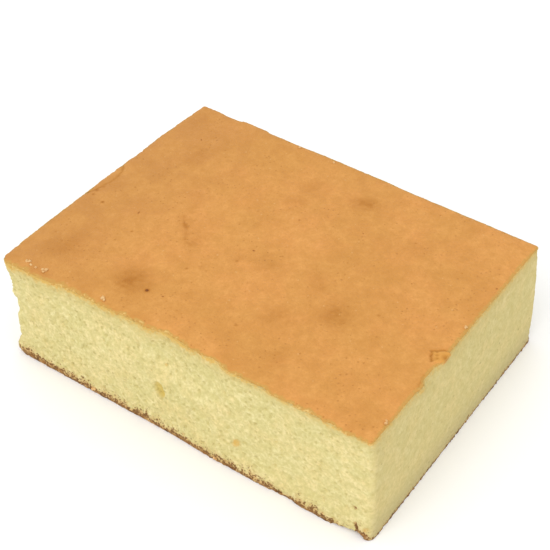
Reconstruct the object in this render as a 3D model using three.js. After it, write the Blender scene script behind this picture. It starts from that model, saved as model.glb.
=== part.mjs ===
import * as THREE from 'three';
import { mergeVertices } from 'three/addons/utils/BufferGeometryUtils.js';

// A slab of butter cake, cut from a baked sheet: a browned skin on top, yellow crumb on the
// four cut walls and a thin dark crust underneath. It is one piece, so it is one solid.
// Millimetres, +Z up. X runs along the long front wall, Y runs from the front to the back,
// and the origin is the middle of the base.

// Driving dimensions
const LENGTH = 200;
const DEPTH = 151;
const HEIGHT = 61;
const CORNER_RADIUS = 3.5;
const SKIN_THICKNESS = 1.2;
const BASE_CRUST = 2.4;
const GRID_STEP = 5.2;

// The knife did not cut square: how far each corner stands off the plain block, as [x, y],
// at the skin and at the base.
const CORNER_SHIFT = {
  frontLeft: { skin: [-1.9, -1.2], base: [-0.6, 0.2] },
  frontRight: { skin: [-0.6, 0.2], base: [2.4, -0.3] },
  backRight: { skin: [-0.5, -1.4], base: [2.0, 1.0] },
  backLeft: { skin: [0.4, 1.5], base: [-0.4, 0.9] },
};

// How far each wall hollows in between skin and base crust; the right wall swells out.
const HOLLOW = { left: 4.9, right: -1.1, front: 0.6, back: 1.2 };
const HOLLOW_FOOT = 5;
const HOLLOW_FULLNESS = 0.7;

// Crumb: the soft walls stand a little inside the two crusts, with grains of this size.
const CRUMB_SETBACK = 0.15;
const CRUMB_GRAIN = 6.5;
const CRUMB_DEPTH = 0.9;
const CRUST_GRAIN_DEPTH = 0.3;

// The top skin sways gently and rounds over at its edge.
const SKIN_WAVE = 42;
const SKIN_WAVE_DEPTH = 0.7;
const SKIN_EDGE_DROP = 0.6;

// How far the knife wore the edge of the skin back on each side
const SKIN_WORN = { left: 0, right: 0.5, front: 0.7, back: 0 };

// Breaks in the walls. Each lies on one wall, at a place along it and a height, with its reach
// along and up the wall, and pushes the wall out (or in, where negative).
const BREAKS = [
  // ragged dips in the front edge of the skin
  { wall: 'front', along: 5, height: HEIGHT, reach: [24, 32], push: -2.6 },
  { wall: 'front', along: -26, height: HEIGHT, reach: [9, 9], push: -0.6 },
  { wall: 'front', along: -35, height: HEIGHT, reach: [46, 26], push: -1.9 },
  { wall: 'front', along: 33, height: HEIGHT, reach: [22, 20], push: -0.9 },
  // open hole left by an air bubble
  { wall: 'front', along: -12, height: 25.5, reach: [4.6, 7], push: -3 },
  // base of the front bulging a little, with its crust broken away in two places
  { wall: 'front', along: 45, height: 0, reach: [55, 14], push: 0.9 },
  { wall: 'front', along: 55, height: 0, reach: [8, 4], push: -0.9 },
  { wall: 'front', along: 89.5, height: 0, reach: [8.5, 3.2], push: -3.2 },
  // torn flap of skin on the right edge, lost skin in front of it and then a smaller tag
  { wall: 'right', along: -14.5, height: HEIGHT, reach: [6.5, 4.5], push: 1.3 },
  { wall: 'right', along: -27, height: HEIGHT, reach: [8, 5], push: -1 },
  { wall: 'right', along: -35.5, height: HEIGHT, reach: [3.8, 5], push: 0.6 },
  // dent in the back edge, and two swells beside it
  { wall: 'back', along: -80, height: HEIGHT, reach: [8, 10], push: -0.5 },
  { wall: 'back', along: -66, height: HEIGHT, reach: [11, 10], push: 0.9 },
  { wall: 'back', along: -4, height: HEIGHT, reach: [34, 10], push: 0.5 },
  // skin standing proud along the left edge, with a small nick
  { wall: 'left', along: -5, height: HEIGHT, reach: [82, 8], push: 1.4 },
  { wall: 'left', along: 23, height: HEIGHT, reach: [5.5, 4], push: -0.5 },
  // dents and a spread foot at the front left corner
  { wall: 'left', along: -74, height: 33, reach: [14, 7], push: -2.4 },
  { wall: 'left', along: -74, height: 49, reach: [14, 9], push: -0.8 },
  { wall: 'left', along: -74, height: 6, reach: [12, 6], push: 2.6 },
  { wall: 'front', along: -98.5, height: 33, reach: [7, 7], push: -1.6 },
  { wall: 'front', along: -98.5, height: 49, reach: [7, 8], push: -0.4 },
];

// Where the skin along the left edge lifts into a thin flake, on the top face
const FLAKE = { x: -97, y: 0, reach: [7, 15], lift: 0.7 };

const CRUMB_YELLOW = 0xe3d292;
const CRUMB_ROUGHNESS = 0.92;

function smooth(share) {
  return share * share * (3 - 2 * share);
}

// Repeatable number between 0 and 1 for one corner of the grain lattice
function latticeValue(i, j, k) {
  const mixed = Math.sin(i * 127.1 + j * 311.7 + k * 74.7) * 43758.5453;
  return mixed - Math.floor(mixed);
}

// Smooth unevenness between -1 and 1, with lumps about one grain wide
function unevenness(x, y, z, grain) {
  const place = [x / grain, y / grain, z / grain];
  const cell = place.map(Math.floor);
  const share = place.map((value, axis) => smooth(value - cell[axis]));
  let sum = 0;
  for (let corner = 0; corner < 8; corner += 1) {
    const step = [corner & 1, (corner >> 1) & 1, corner >> 2];
    const weights = step.map((on, axis) => (on ? share[axis] : 1 - share[axis]));
    const value = latticeValue(cell[0] + step[0], cell[1] + step[1], cell[2] + step[2]);
    sum += weights[0] * weights[1] * weights[2] * value;
  }
  return 2 * sum - 1;
}

// Flat-topped hump: 1 out to half the reach, then down to 0 at the reach
function hump(distance, reach) {
  const share = 2 - (2 * Math.abs(distance)) / reach;
  return smooth(THREE.MathUtils.clamp(share, 0, 1));
}

// The off-square cut at a place in the block; a and b run from -1 to 1, rise from 0 to 1
function cornerShift(a, b, rise) {
  const right = (a + 1) / 2;
  const back = (b + 1) / 2;
  const weights = {
    frontLeft: (1 - right) * (1 - back),
    frontRight: right * (1 - back),
    backRight: right * back,
    backLeft: (1 - right) * back,
  };
  const shift = [0, 0];
  for (const [corner, weight] of Object.entries(weights)) {
    const { skin, base } = CORNER_SHIFT[corner];
    shift[0] += weight * THREE.MathUtils.lerp(base[0], skin[0], rise);
    shift[1] += weight * THREE.MathUtils.lerp(base[1], skin[1], rise);
  }
  return shift;
}

// How much of a point on the outline faces each wall, from its outward direction in plan
function facing(out) {
  return {
    left: Math.max(0, -out.x) ** 2,
    right: Math.max(0, out.x) ** 2,
    front: Math.max(0, -out.y) ** 2,
    back: Math.max(0, out.y) ** 2,
  };
}

// How far the wall stands out from the plain block at a point of its outline
function wallOffset(x, y, z, out) {
  const wall = facing(out);
  const rise = THREE.MathUtils.clamp((z - HOLLOW_FOOT) / (HEIGHT - HOLLOW_FOOT), 0, 1);
  const hollow = Math.sin(Math.PI * rise) ** HOLLOW_FULLNESS;
  const isCrumb = z > BASE_CRUST && z < HEIGHT - SKIN_THICKNESS;
  let offset = isCrumb ? -CRUMB_SETBACK : 0;
  for (const side of Object.keys(wall)) {
    const worn = z === HEIGHT ? SKIN_WORN[side] : 0;
    offset -= wall[side] * (HOLLOW[side] * hollow + worn);
  }
  const grainDepth = isCrumb ? CRUMB_DEPTH : CRUST_GRAIN_DEPTH;
  offset += grainDepth * unevenness(x, y, z, CRUMB_GRAIN);
  for (const spot of BREAKS) {
    const along = spot.wall === 'front' || spot.wall === 'back' ? x : y;
    const across = hump(along - spot.along, spot.reach[0]);
    offset += spot.push * wall[spot.wall] * across * hump(z - spot.height, spot.reach[1]);
  }
  return offset;
}

// A point on the outline at one height; a and b lie on the edge of the square from -1 to 1
function outlinePoint(a, b, z) {
  const x = (a * LENGTH) / 2;
  const y = (b * DEPTH) / 2;
  const straightX = LENGTH / 2 - CORNER_RADIUS;
  const straightY = DEPTH / 2 - CORNER_RADIUS;
  const inner = new THREE.Vector2(
    THREE.MathUtils.clamp(x, -straightX, straightX),
    THREE.MathUtils.clamp(y, -straightY, straightY),
  );
  const out = new THREE.Vector2(x, y).sub(inner).normalize();
  const reach = CORNER_RADIUS + wallOffset(x, y, z, out);
  const [shiftX, shiftY] = cornerShift(a, b, z / HEIGHT);
  return inner.addScaledVector(out, reach).add(new THREE.Vector2(shiftX, shiftY));
}

// A point on the walls, straight above the base outline
function wallPoint(a, b, z) {
  const plan = outlinePoint(a, b, z);
  const level = z === HEIGHT ? HEIGHT - SKIN_EDGE_DROP : z;
  return new THREE.Vector3(plan.x, plan.y, level);
}

// A point on the top face: the outline at skin height, drawn in towards the middle
function skinPoint(a, b) {
  const spread = Math.max(Math.abs(a), Math.abs(b));
  if (spread === 1) {
    return wallPoint(a, b, HEIGHT);
  }
  if (spread === 0) {
    return new THREE.Vector3(0, 0, HEIGHT);
  }
  const plan = outlinePoint(a / spread, b / spread, HEIGHT).multiplyScalar(spread);
  const wave = SKIN_WAVE_DEPTH * unevenness(plan.x, plan.y, HEIGHT, SKIN_WAVE);
  const overFlake = hump(plan.x - FLAKE.x, FLAKE.reach[0]) * hump(plan.y - FLAKE.y, FLAKE.reach[1]);
  return new THREE.Vector3(plan.x, plan.y, HEIGHT + Math.min(0, wave) + FLAKE.lift * overFlake);
}

// Even grid lines from start to end, with a line moved in to meet each marked place
function gridLines(start, end, marks) {
  const lines = [start, ...marks, end].sort((one, other) => one - other);
  const filled = [lines[0]];
  for (let i = 1; i < lines.length; i += 1) {
    const gap = lines[i] - lines[i - 1];
    const steps = Math.max(1, Math.round(gap / GRID_STEP));
    for (let step = 1; step <= steps; step += 1) {
      filled.push(lines[i - 1] + (gap * step) / steps);
    }
  }
  return filled;
}

// The lines that a break needs along its wall: its middle and half its reach to each side
function breakMarks(walls) {
  const marks = [];
  for (const { wall, along, reach } of BREAKS) {
    if (walls.includes(wall)) {
      marks.push(along, along - reach[0] / 2, along + reach[0] / 2);
    }
  }
  return marks;
}

// Drops marks that crowd the one before them
function thinned(marks, limit) {
  const spacing = GRID_STEP / 3;
  const kept = [];
  for (const mark of [...marks].sort((one, other) => one - other)) {
    const clear = kept.length === 0 || mark - kept[kept.length - 1] >= spacing;
    if (clear && Math.abs(mark) <= limit - spacing) {
      kept.push(mark);
    }
  }
  return kept;
}

function lengthLines() {
  const edge = LENGTH / 2 - SKIN_THICKNESS;
  const marks = thinned(breakMarks(['front', 'back']), edge);
  return gridLines(-LENGTH / 2, LENGTH / 2, [-edge, ...marks, edge]).map((x) => (2 * x) / LENGTH);
}

function depthLines() {
  const edge = DEPTH / 2 - SKIN_THICKNESS;
  const marks = thinned(breakMarks(['left', 'right']), edge);
  return gridLines(-DEPTH / 2, DEPTH / 2, [-edge, ...marks, edge]).map((y) => (2 * y) / DEPTH);
}

function heightLines() {
  const crumbTop = HEIGHT - SKIN_THICKNESS;
  return gridLines(0, HEIGHT, [BASE_CRUST, 2 * BASE_CRUST, crumbTop - SKIN_THICKNESS, crumbTop]);
}

// Adds the triangles of one sheet of points; along crossed with up points out of the cake
function addSheet(triangles, along, up, pointAt) {
  for (let i = 0; i + 1 < along.length; i += 1) {
    for (let j = 0; j + 1 < up.length; j += 1) {
      const near = pointAt(along[i], up[j]);
      const far = pointAt(along[i + 1], up[j]);
      const farUp = pointAt(along[i + 1], up[j + 1]);
      const nearUp = pointAt(along[i], up[j + 1]);
      if ((i + j) % 2 === 0) {
        triangles.push(near, far, farUp, near, farUp, nearUp);
      } else {
        triangles.push(near, far, nearUp, far, farUp, nearUp);
      }
    }
  }
}

// The flat base: a fan from its middle to each step of the outline
function addBase(triangles, acrossX, acrossY) {
  const rim = [
    ...acrossX.map((a) => [a, -1]),
    ...acrossY.slice(1).map((b) => [1, b]),
    ...acrossX.toReversed().slice(1).map((a) => [a, 1]),
    ...acrossY.toReversed().slice(1).map((b) => [-1, b]),
  ];
  for (let i = 0; i + 1 < rim.length; i += 1) {
    const here = wallPoint(...rim[i], 0);
    const next = wallPoint(...rim[i + 1], 0);
    triangles.push(new THREE.Vector3(0, 0, 0), next, here);
  }
}

// The whole skin of the slab as one closed geometry
function slabGeometry() {
  const acrossX = lengthLines();
  const acrossY = depthLines();
  const upZ = heightLines();
  const triangles = [];
  addSheet(triangles, acrossX, acrossY, skinPoint);
  addSheet(triangles, acrossX, upZ, (a, z) => wallPoint(a, -1, z));
  addSheet(triangles, acrossX.toReversed(), upZ, (a, z) => wallPoint(a, 1, z));
  addSheet(triangles, acrossY, upZ, (b, z) => wallPoint(1, b, z));
  addSheet(triangles, acrossY.toReversed(), upZ, (b, z) => wallPoint(-1, b, z));
  addBase(triangles, acrossX, acrossY);
  const loose = new THREE.BufferGeometry().setFromPoints(triangles);
  const welded = mergeVertices(loose);
  welded.computeVertexNormals();
  return welded;
}

// Moves the slab so that the origin is exactly the middle of its base
function centred(geometry) {
  geometry.computeBoundingBox();
  const middle = geometry.boundingBox.getCenter(new THREE.Vector3());
  return geometry.translate(-middle.x, -middle.y, 0);
}

const crumb = new THREE.MeshStandardMaterial({
  color: CRUMB_YELLOW,
  roughness: CRUMB_ROUGHNESS,
  metalness: 0,
});

const slab = new THREE.Mesh(centred(slabGeometry()), crumb);
slab.name = 'butter_cake';

const cake = new THREE.Group();
cake.add(slab);

export default cake;
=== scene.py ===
# %% [markdown]
# # A slab of butter cake
#
# This lesson dresses one block of butter cake, cut from a baked sheet. The real block is one piece, but
# it has three finishes: a smooth browned skin on top, open yellow crumb on the four cut walls, and a thin
# dark crust underneath. We give each finish its own closed mesh, with its hidden side tucked into its
# neighbour, because then each one can have the fine shape and the colours that it needs.
#
# The measured frame is loaded first. Nothing below moves or resizes it: the dressed cake stands where the
# frame says.

# %% Load the frame
import math

import bpy
import numpy as np
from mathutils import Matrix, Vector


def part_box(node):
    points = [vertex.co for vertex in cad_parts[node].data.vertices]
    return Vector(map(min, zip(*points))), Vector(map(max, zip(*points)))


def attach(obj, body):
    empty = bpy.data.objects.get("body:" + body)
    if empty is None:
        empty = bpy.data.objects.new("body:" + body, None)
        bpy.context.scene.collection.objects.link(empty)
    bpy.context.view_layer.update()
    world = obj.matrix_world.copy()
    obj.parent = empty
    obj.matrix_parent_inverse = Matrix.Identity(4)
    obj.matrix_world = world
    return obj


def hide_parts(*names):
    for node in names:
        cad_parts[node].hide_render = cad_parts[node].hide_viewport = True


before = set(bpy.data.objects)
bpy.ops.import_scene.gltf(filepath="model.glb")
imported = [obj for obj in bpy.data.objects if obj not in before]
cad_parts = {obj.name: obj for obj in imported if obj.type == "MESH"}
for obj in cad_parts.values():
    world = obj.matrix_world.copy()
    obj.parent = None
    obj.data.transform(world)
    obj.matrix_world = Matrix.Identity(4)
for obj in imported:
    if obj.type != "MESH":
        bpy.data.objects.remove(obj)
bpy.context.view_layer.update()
print("frame nodes:", sorted(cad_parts))

# %% [markdown]
# ## The sizes of the slab
#
# The frame gives the box round the slab. The knife did not cut square, so the box is a little larger than
# the plain block inside it. We take that plain block as length, depth and height in millimetres, because
# a cake's crumbs and breaks are easier to think of in millimetres than in Blender's metres.

# %% Sizes of the plain block
MM = 0.001
SLAB = "butter_cake"
# How much larger than the plain block the frame's box is, in millimetres
OFF_SQUARE = (5.71, 3.79, 0.7)

slab_low, slab_high = (np.array(corner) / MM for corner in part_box(SLAB))
LENGTH, DEPTH, HEIGHT = slab_high - slab_low - np.array(OFF_SQUARE)
print(f"plain block: {LENGTH:.1f} x {DEPTH:.1f} x {HEIGHT:.1f} mm")

# %% [markdown]
# ## The cut form
#
# Every finish follows the same form. The vertical corners are rounded, each corner is shifted the way the
# knife wandered, and the walls are hollow where the soft crumb sank between skin and crust. Breaks come on
# top of that: dents, swells, and a notch where the front's foot broke away.

# %% Corners, hollows and breaks
CORNER_RADIUS = 3.5
# For each corner, as (side, end): how far it stands off the plain block at the skin, and at the base
CORNER_SHIFT = {
    (-1, -1): ((-1.9, -1.2), (-0.6, 0.2)),
    (1, -1): ((-0.6, 0.2), (2.4, -0.3)),
    (1, 1): ((-0.5, -1.4), (2.0, 1.0)),
    (-1, 1): ((0.4, 1.5), (-0.4, 0.9)),
}
OUTWARD = {"left": (-1, 0), "right": (1, 0), "front": (0, -1), "back": (0, 1)}
HOLLOW = {"left": 4.9, "right": -1.1, "front": 0.6, "back": 1.2}
HOLLOW_FOOT = 5.0
HOLLOW_FULLNESS = 0.7
# Wall, place along it, height, reach along and up, and how far the wall is pushed out
BREAKS = [
    ("front", 5, HEIGHT, (24, 32), -2.6),
    ("front", -26, HEIGHT, (9, 9), -0.6),
    ("front", -35, HEIGHT, (46, 26), -1.9),
    ("front", 33, HEIGHT, (22, 20), -0.9),
    ("front", 16.5, 57.8, (5.5, 3.4), 1.0),
    ("front", 11, 58.2, (3.5, 3.2), -0.9),
    ("front", -0.8, 52.5, (3.5, 2.2), -0.9),
    ("front", 45, 0, (55, 14), 0.9),
    ("front", 55, 0, (8, 4), -0.9),
    ("front", -98.5, 33, (7, 7), -1.6),
    ("front", -98.5, 49, (7, 8), -0.4),
    ("right", -27, HEIGHT, (8, 5), -1.0),
    ("right", -35.5, HEIGHT, (3.8, 5), 0.6),
    ("back", -80, HEIGHT, (8, 10), -0.5),
    ("back", -66, HEIGHT, (11, 10), 0.9),
    ("back", -4, HEIGHT, (34, 10), 0.5),
    ("left", -5, HEIGHT, (82, 8), 1.4),
    ("left", -74, 33, (14, 7), -2.4),
    ("left", -74, 49, (14, 9), -0.8),
    ("left", -74, 6, (12, 6), 2.6),
    ("left", 23, HEIGHT, (5.5, 4), -0.5),
]
# The notch beside the right corner: the height of its roof along the front, its depth and its lip
NOTCH_ALONG = (78.5, 82.0, 94.2, 94.9, 96.6, 97.3)
NOTCH_ROOF = (-1.0, 0.4, 2.4, 2.4, -0.4, -1.0)
NOTCH_DEPTH = 3.2
NOTCH_LIP = 0.8
print(f"form: {len(BREAKS)} breaks on {len(OUTWARD)} walls")

# %% [markdown]
# One function turns all of this into points. It takes places on the edge of a unit square and heights, and
# gives the points on the cut wall with the directions that the wall looks in there.

# %% The outline of the cut wall
def smooth(share):
    return share * share * (3 - 2 * share)


def hump(distance, reach):
    """1 out to half the reach, then smoothly down to 0 at the reach."""
    return smooth(np.clip(2 - 2 * np.abs(distance) / reach, 0, 1))


def facing(out, wall):
    """How squarely outward directions look to one wall, from 0 to 1."""
    return np.clip(out @ np.array(OUTWARD[wall], float), 0, None) ** 2


def along_wall(plan, wall):
    return plan[:, 0 if wall in ("front", "back") else 1]


def corner_shift(a, b, rise):
    """The off-square cut at places in the block, as x and y."""
    shift = np.zeros((len(a), 2))
    for (side, end), (skin, base) in CORNER_SHIFT.items():
        weight = (1 + side * a) * (1 + end * b) / 4
        at_rise = np.outer(1 - rise, base) + np.outer(rise, skin)
        shift += weight[:, None] * at_rise
    return shift


def wall_offset(plan, z, out):
    """How far the wall stands out from the plain block."""
    rise = np.clip((z - HOLLOW_FOOT) / (HEIGHT - HOLLOW_FOOT), 0, 1)
    hollow = np.abs(np.sin(np.pi * rise)) ** HOLLOW_FULLNESS
    offset = np.zeros(len(plan))
    for wall, depth in HOLLOW.items():
        offset -= facing(out, wall) * depth * hollow
    for wall, along, height, reach, push in BREAKS:
        spread = hump(along_wall(plan, wall) - along, reach[0]) * hump(z - height, reach[1])
        offset += push * facing(out, wall) * spread
    under_roof = (np.interp(plan[:, 0], NOTCH_ALONG, NOTCH_ROOF) - z) / NOTCH_LIP
    return offset - NOTCH_DEPTH * facing(out, "front") * smooth(np.clip(under_roof + 0.5, 0, 1))


def outline(a, b, z, proud=0.0, radius=CORNER_RADIUS):
    """Points on the cut wall at heights z, and their outward directions, for places on the unit square."""
    z = np.broadcast_to(z, len(a))
    plan = np.stack([a * LENGTH / 2, b * DEPTH / 2], axis=1)
    straight = np.array([LENGTH, DEPTH]) / 2 - np.reshape(radius, (-1, 1))
    inner = np.clip(plan, -straight, straight)
    out = plan - inner
    out /= np.linalg.norm(out, axis=1, keepdims=True)
    reach = radius + wall_offset(plan, z, out) + proud
    return inner + out * reach[:, None] + corner_shift(a, b, z / HEIGHT), out


corners, _ = outline(np.array([-1, 1, 1, -1]), np.array([-1, -1, 1, 1]), HEIGHT)
print("corners of the top:", corners.round(1).tolist())

# %% [markdown]
# ## Walking round the block
#
# The walls, the skin's rim and the base crust are rings of points round that outline, joined ring to ring.
# So one helper walks round the unit square, others join two rings or fan a ring to its middle with faces
# that look outwards, and one closes a whole stack of rings.

# %% Rings and faces
def at_height(plan, z):
    """Points from places in plan and one height, or a height for each."""
    return np.column_stack([plan, np.broadcast_to(z, len(plan))])


def perimeter(front, right, back, left):
    """Places round the unit square, counter-clockwise from the front left, with a count for each wall."""
    steps = [np.linspace(-1, 1, count, endpoint=False) for count in (front, right, back, left)]
    a = np.concatenate([steps[0], np.ones(right), -steps[2], -np.ones(left)])
    b = np.concatenate([-np.ones(front), steps[1], np.ones(back), -steps[3]])
    return a, b


def ring_faces(lower, upper):
    """Quads between two rings of point numbers, looking outwards when upper is above lower."""
    return np.stack([lower, np.roll(lower, -1), np.roll(upper, -1), upper], axis=1).tolist()


def fan_faces(ring, middle):
    """Triangles from a ring to the point in its middle, looking up when the ring is counter-clockwise."""
    return np.stack([ring, np.roll(ring, -1), np.full(len(ring), middle)], axis=1).tolist()


def stack_faces(rows):
    """Faces of a closed stack of rings, whose last two points are the middles of its foot and its top."""
    rings = np.arange(rows * RING).reshape(rows, RING)
    faces = [face for low, high in zip(rings, rings[1:]) for face in ring_faces(low, high)]
    return faces + fan_faces(rings[0][::-1], rings.size) + fan_faces(rings[-1], rings.size + 1)


# Distance between points along each wall: closest on the front, where the crumb is torn open
RING_STEP = {"front": 0.52, "right": 0.66, "back": 1.0, "left": 1.0}
WALL_LENGTH = {"front": LENGTH, "right": DEPTH, "back": LENGTH, "left": DEPTH}
ring_a, ring_b = perimeter(*(round(WALL_LENGTH[wall] / step) for wall, step in RING_STEP.items()))
RING = len(ring_a)
print(f"ring: {RING} points round the block")

# %% [markdown]
# ## Unevenness
#
# Nothing on a cake is quite even. Smooth unevenness comes from a fixed lattice of numbers, so it is the
# same on every run. It is laid on in layers, coarse and fine, because one grain alone looks made by a
# machine. A torn line also needs the distance from a point to the line.

# %% Unevenness and distance
# Numbers that scramble a corner of the lattice into a value between 0 and 1
LATTICE_MIX, LATTICE_SPREAD = np.array([127.1, 311.7, 74.7]), 43758.5453


def lattice_value(cell, seed):
    mixed = np.sin(cell @ LATTICE_MIX + seed) * LATTICE_SPREAD
    return mixed - np.floor(mixed)


def unevenness(points, grain, seed):
    """Smooth lumps about one grain wide, between -1 and 1."""
    place = np.asarray(points, float) / grain
    cell = np.floor(place)
    share = smooth(place - cell)
    total = np.zeros(len(place))
    for corner in np.ndindex(2, 2, 2):
        weight = np.prod(np.where(corner, share, 1 - share), axis=1)
        total += weight * lattice_value(cell + corner, seed)
    return 2 * total - 1


def blend(points, layers):
    """Unevenness in layers, each with a weight, a grain and a seed."""
    return sum(weight * unevenness(points, grain, seed) for weight, grain, seed in layers)


def sway(points, layers):
    """Wander in x and y, in layers that each have an amount, a grain and a seed for each direction."""
    return sum(
        amount * np.column_stack([unevenness(points, grain, seed) for seed in seeds])
        for amount, grain, seeds in layers
    )


def distance_to_path(points, path):
    """Shortest distance from points to a line through the path's places."""
    best = np.full(len(points), np.inf)
    for start, end in zip(np.array(path, float), np.array(path[1:], float)):
        run = end - start
        share = np.clip(((points - start) @ run) / (run @ run), 0, 1)
        nearest = start + share[:, None] * run
        best = np.minimum(best, np.linalg.norm(points - nearest, axis=1))
    return best


def bell(distance, reach):
    """1 at no distance, falling smoothly away over about one reach."""
    return np.exp(-((distance / reach) ** 2))


print("unevenness at the corners:", unevenness(at_height(corners, HEIGHT), grain=4.0, seed=1.0).round(2))

# %% [markdown]
# ## How ragged each edge is
#
# A knife tears a cake's skin and crust more on one side than on another. Here the front was torn, while
# the right wall was cut cleanly. Each edge therefore gets its own raggedness: how deep the skin shows on
# the wall, how high the base crust shows, and how much the edge wanders in and out.

# %% Ragged edges of the skin and the base crust
SKIN_DEPTH = {"left": 1.2, "right": 0.6, "front": 0.8, "back": 1.2}
SKIN_DEPTH_LEAST = 0.45
SKIN_RAGGED = {"left": 0.35, "right": 0.15, "front": 0.45, "back": 0.4}
SKIN_LEAN = 0.35
EDGE_RAGGED = {"left": 0.15, "right": 0.15, "front": 0.8, "back": 0.15}
EDGE_LOST = {"left": 0.0, "right": 0.5, "front": 0.7, "back": 0.0}
# Wall, place along it, reach, and how much farther down the skin hangs there
HANGING = [
    ("right", -15.0, 4.2, 1.2), ("right", -35.0, 3.6, 2.2), ("right", -72, 5, 0.8), ("front", -99, 7, 1.6),
]
CRUST_HEIGHT = {"left": 1.8, "right": 0.22, "front": 1.8, "back": 1.8}
CRUST_HEIGHT_LEAST = 0.15
CRUST_RAGGED = {"left": 1.2, "right": 0.16, "front": 1.4, "back": 1.2}
CRUST_LEAN = 3.0
# Wall, place along it, reach, and how much of the crust broke away there
CRUST_GAPS = [
    ("front", 56, 5, 2.0), ("front", 87.5, 9.5, 4.0), ("front", 97.5, 4, -1.0), ("front", -54, 2.2, 1.5),
    ("right", -74, 6, 0.4),
]
# Weight, grain and seed of each layer of unevenness
EDGE_WANDER = [(0.7, 4.0, 1.0), (0.8, 1.5, 2.0)]
SKIN_FRINGE = [(1.0, 4.5, 3.0), (0.7, 1.6, 4.0)]
CRUST_FRINGE = [(0.6, 5.5, 5.0), (0.9, 1.7, 6.0)]


def by_wall(out, amounts):
    """One amount for each outward direction, blended round the corners."""
    return sum(facing(out, wall) * amount for wall, amount in amounts.items())


def at_places(plan, out, places):
    """What the listed places on the walls add: each has a wall, a place along it, a reach and an amount."""
    total = np.zeros(len(plan))
    for wall, along, reach, amount in places:
        total += amount * facing(out, wall) * hump(along_wall(plan, wall) - along, reach)
    return total


def skin_edge(a, b):
    """How far the skin's torn edge wanders out, and how far down the wall it shows."""
    rim, out = outline(a, b, HEIGHT)
    place = at_height(rim, 0)
    wander = by_wall(out, EDGE_RAGGED) * blend(place, EDGE_WANDER) - by_wall(out, EDGE_LOST)
    depth = by_wall(out, SKIN_DEPTH) + by_wall(out, SKIN_RAGGED) * blend(place, SKIN_FRINGE)
    depth -= SKIN_LEAN * facing(out, "front") * np.clip(2 * a, 0, 1)
    depth += at_places(rim, out, HANGING)
    return wander, np.clip(depth, SKIN_DEPTH_LEAST, None)


def crust_edge(a, b):
    """How far up the wall the base crust shows."""
    foot, out = outline(a, b, 0)
    fringe = blend(at_height(foot, 0), CRUST_FRINGE)
    height = by_wall(out, CRUST_HEIGHT) + by_wall(out, CRUST_RAGGED) * fringe
    height += CRUST_LEAN * facing(out, "front") * np.clip(-foot[:, 0] / LENGTH, 0, None)
    height -= at_places(foot, out, CRUST_GAPS)
    return np.clip(height, CRUST_HEIGHT_LEAST, None)


_, skin_depth = skin_edge(ring_a, ring_b)
crust_height = crust_edge(ring_a, ring_b)
print(f"skin shows {skin_depth.min():.2f} to {skin_depth.max():.2f} mm deep on the walls")
print(f"base crust shows {crust_height.min():.2f} to {crust_height.max():.2f} mm high")

# %% [markdown]
# ## The crumb block
#
# The crumb is the body of the cake. Its walls are a fine net of points, close enough to carry grains and
# pores as real shape. Three things are pressed into the net first: the bubble that the cut opened, and
# a crack and a deep pore near the front right corner.

# %% The net of the crumb's walls
CRUMB_FOOT = 0.1
CRUMB_TOP = HEIGHT - 0.5
CRUMB_ROWS = 100
CRUMB_SETBACK = 0.1
# The bubble: its middle on the front wall, half its size, its lean and its depth
POCKET_MIDDLE, POCKET_HALF = (-12.0, 25.5), (3.1, 5.3)
POCKET_LEAN, POCKET_DEPTH = 0.15, 2.4
# How steep its wall is, and how much deeper it is to the right
POCKET_STEEP, POCKET_FLOOR, POCKET_SLOPE = 3, 0.85, 0.3
# The crack and the pore, as short lines on the front wall
CRACKS = [[(94.1, 7.2), (95.5, 3.2)], [(93.2, 16.9), (93.4, 16.7)]]
CRACK_REACH, CRACK_DEPTH = 0.8, 0.9


def pocket_depth(points, out):
    """The open bubble: an egg shape, deepest beside its right edge."""
    x, _, z = points.T
    up = z - POCKET_MIDDLE[1]
    across = (x - POCKET_MIDDLE[0] + POCKET_LEAN * up) / POCKET_HALF[0]
    inside = 1 - np.hypot(across, up / POCKET_HALF[1])
    floor = np.clip(POCKET_FLOOR + POCKET_SLOPE * across, 0, 1)
    return POCKET_DEPTH * smooth(np.clip(POCKET_STEEP * inside, 0, 1)) * floor * facing(out, "front")


all_a, all_b = np.tile(ring_a, CRUMB_ROWS), np.tile(ring_b, CRUMB_ROWS)
all_z = np.repeat(np.linspace(CRUMB_FOOT, CRUMB_TOP, CRUMB_ROWS), RING)
crumb_plan, crumb_out = outline(all_a, all_b, all_z, proud=-CRUMB_SETBACK)
crumb_front = facing(crumb_out, "front")
wall_points = at_height(crumb_plan, all_z)
pocket = pocket_depth(wall_points, crumb_out)
wall_points[:, :2] -= crumb_out * pocket[:, None]

crack = np.min([distance_to_path(wall_points[:, ::2], path) for path in CRACKS], axis=0)
crack = bell(crack, CRACK_REACH) * crumb_front
wall_points[:, :2] -= CRACK_DEPTH * crumb_out * crack[:, None]
print(f"walls: {len(wall_points)} points, bubble {pocket.max():.1f} mm deep")

# %% [markdown]
# Heat reached the crumb from above and below. Just under the skin it is toasted, in lumps, and a wider
# golden band fades out below that. Just above the base crust it is stained brown, with specks and a faint
# haze higher up. Two spots on the front are browned on their own: a crumb of sugar, and the side of the
# lump at the foot of the corner.

# %% Toast and stain on the crumb
TOASTING = {"left": 0.6, "right": 0.28, "front": 0.65, "back": 0.6}
GOLDEN = {"left": 0.4, "right": 0.28, "front": 0.4, "back": 0.4}
STAINING = {"left": 1.0, "right": 0.4, "front": 1.0, "back": 1.0}
TOAST_DEPTH = 1.3
TOAST_LEAN = 0.35
GOLDEN_DEPTH = 6.0
LUMP_HEIGHT = 0.9
STAIN_HEIGHT = 2.6
STAIN_STRENGTH = 0.75
SPECK_HEIGHT = 3.2
SPECK_SHARPNESS, SPECK_LEVEL = 3, 0.5
HAZE_STRENGTH = 0.45
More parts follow.
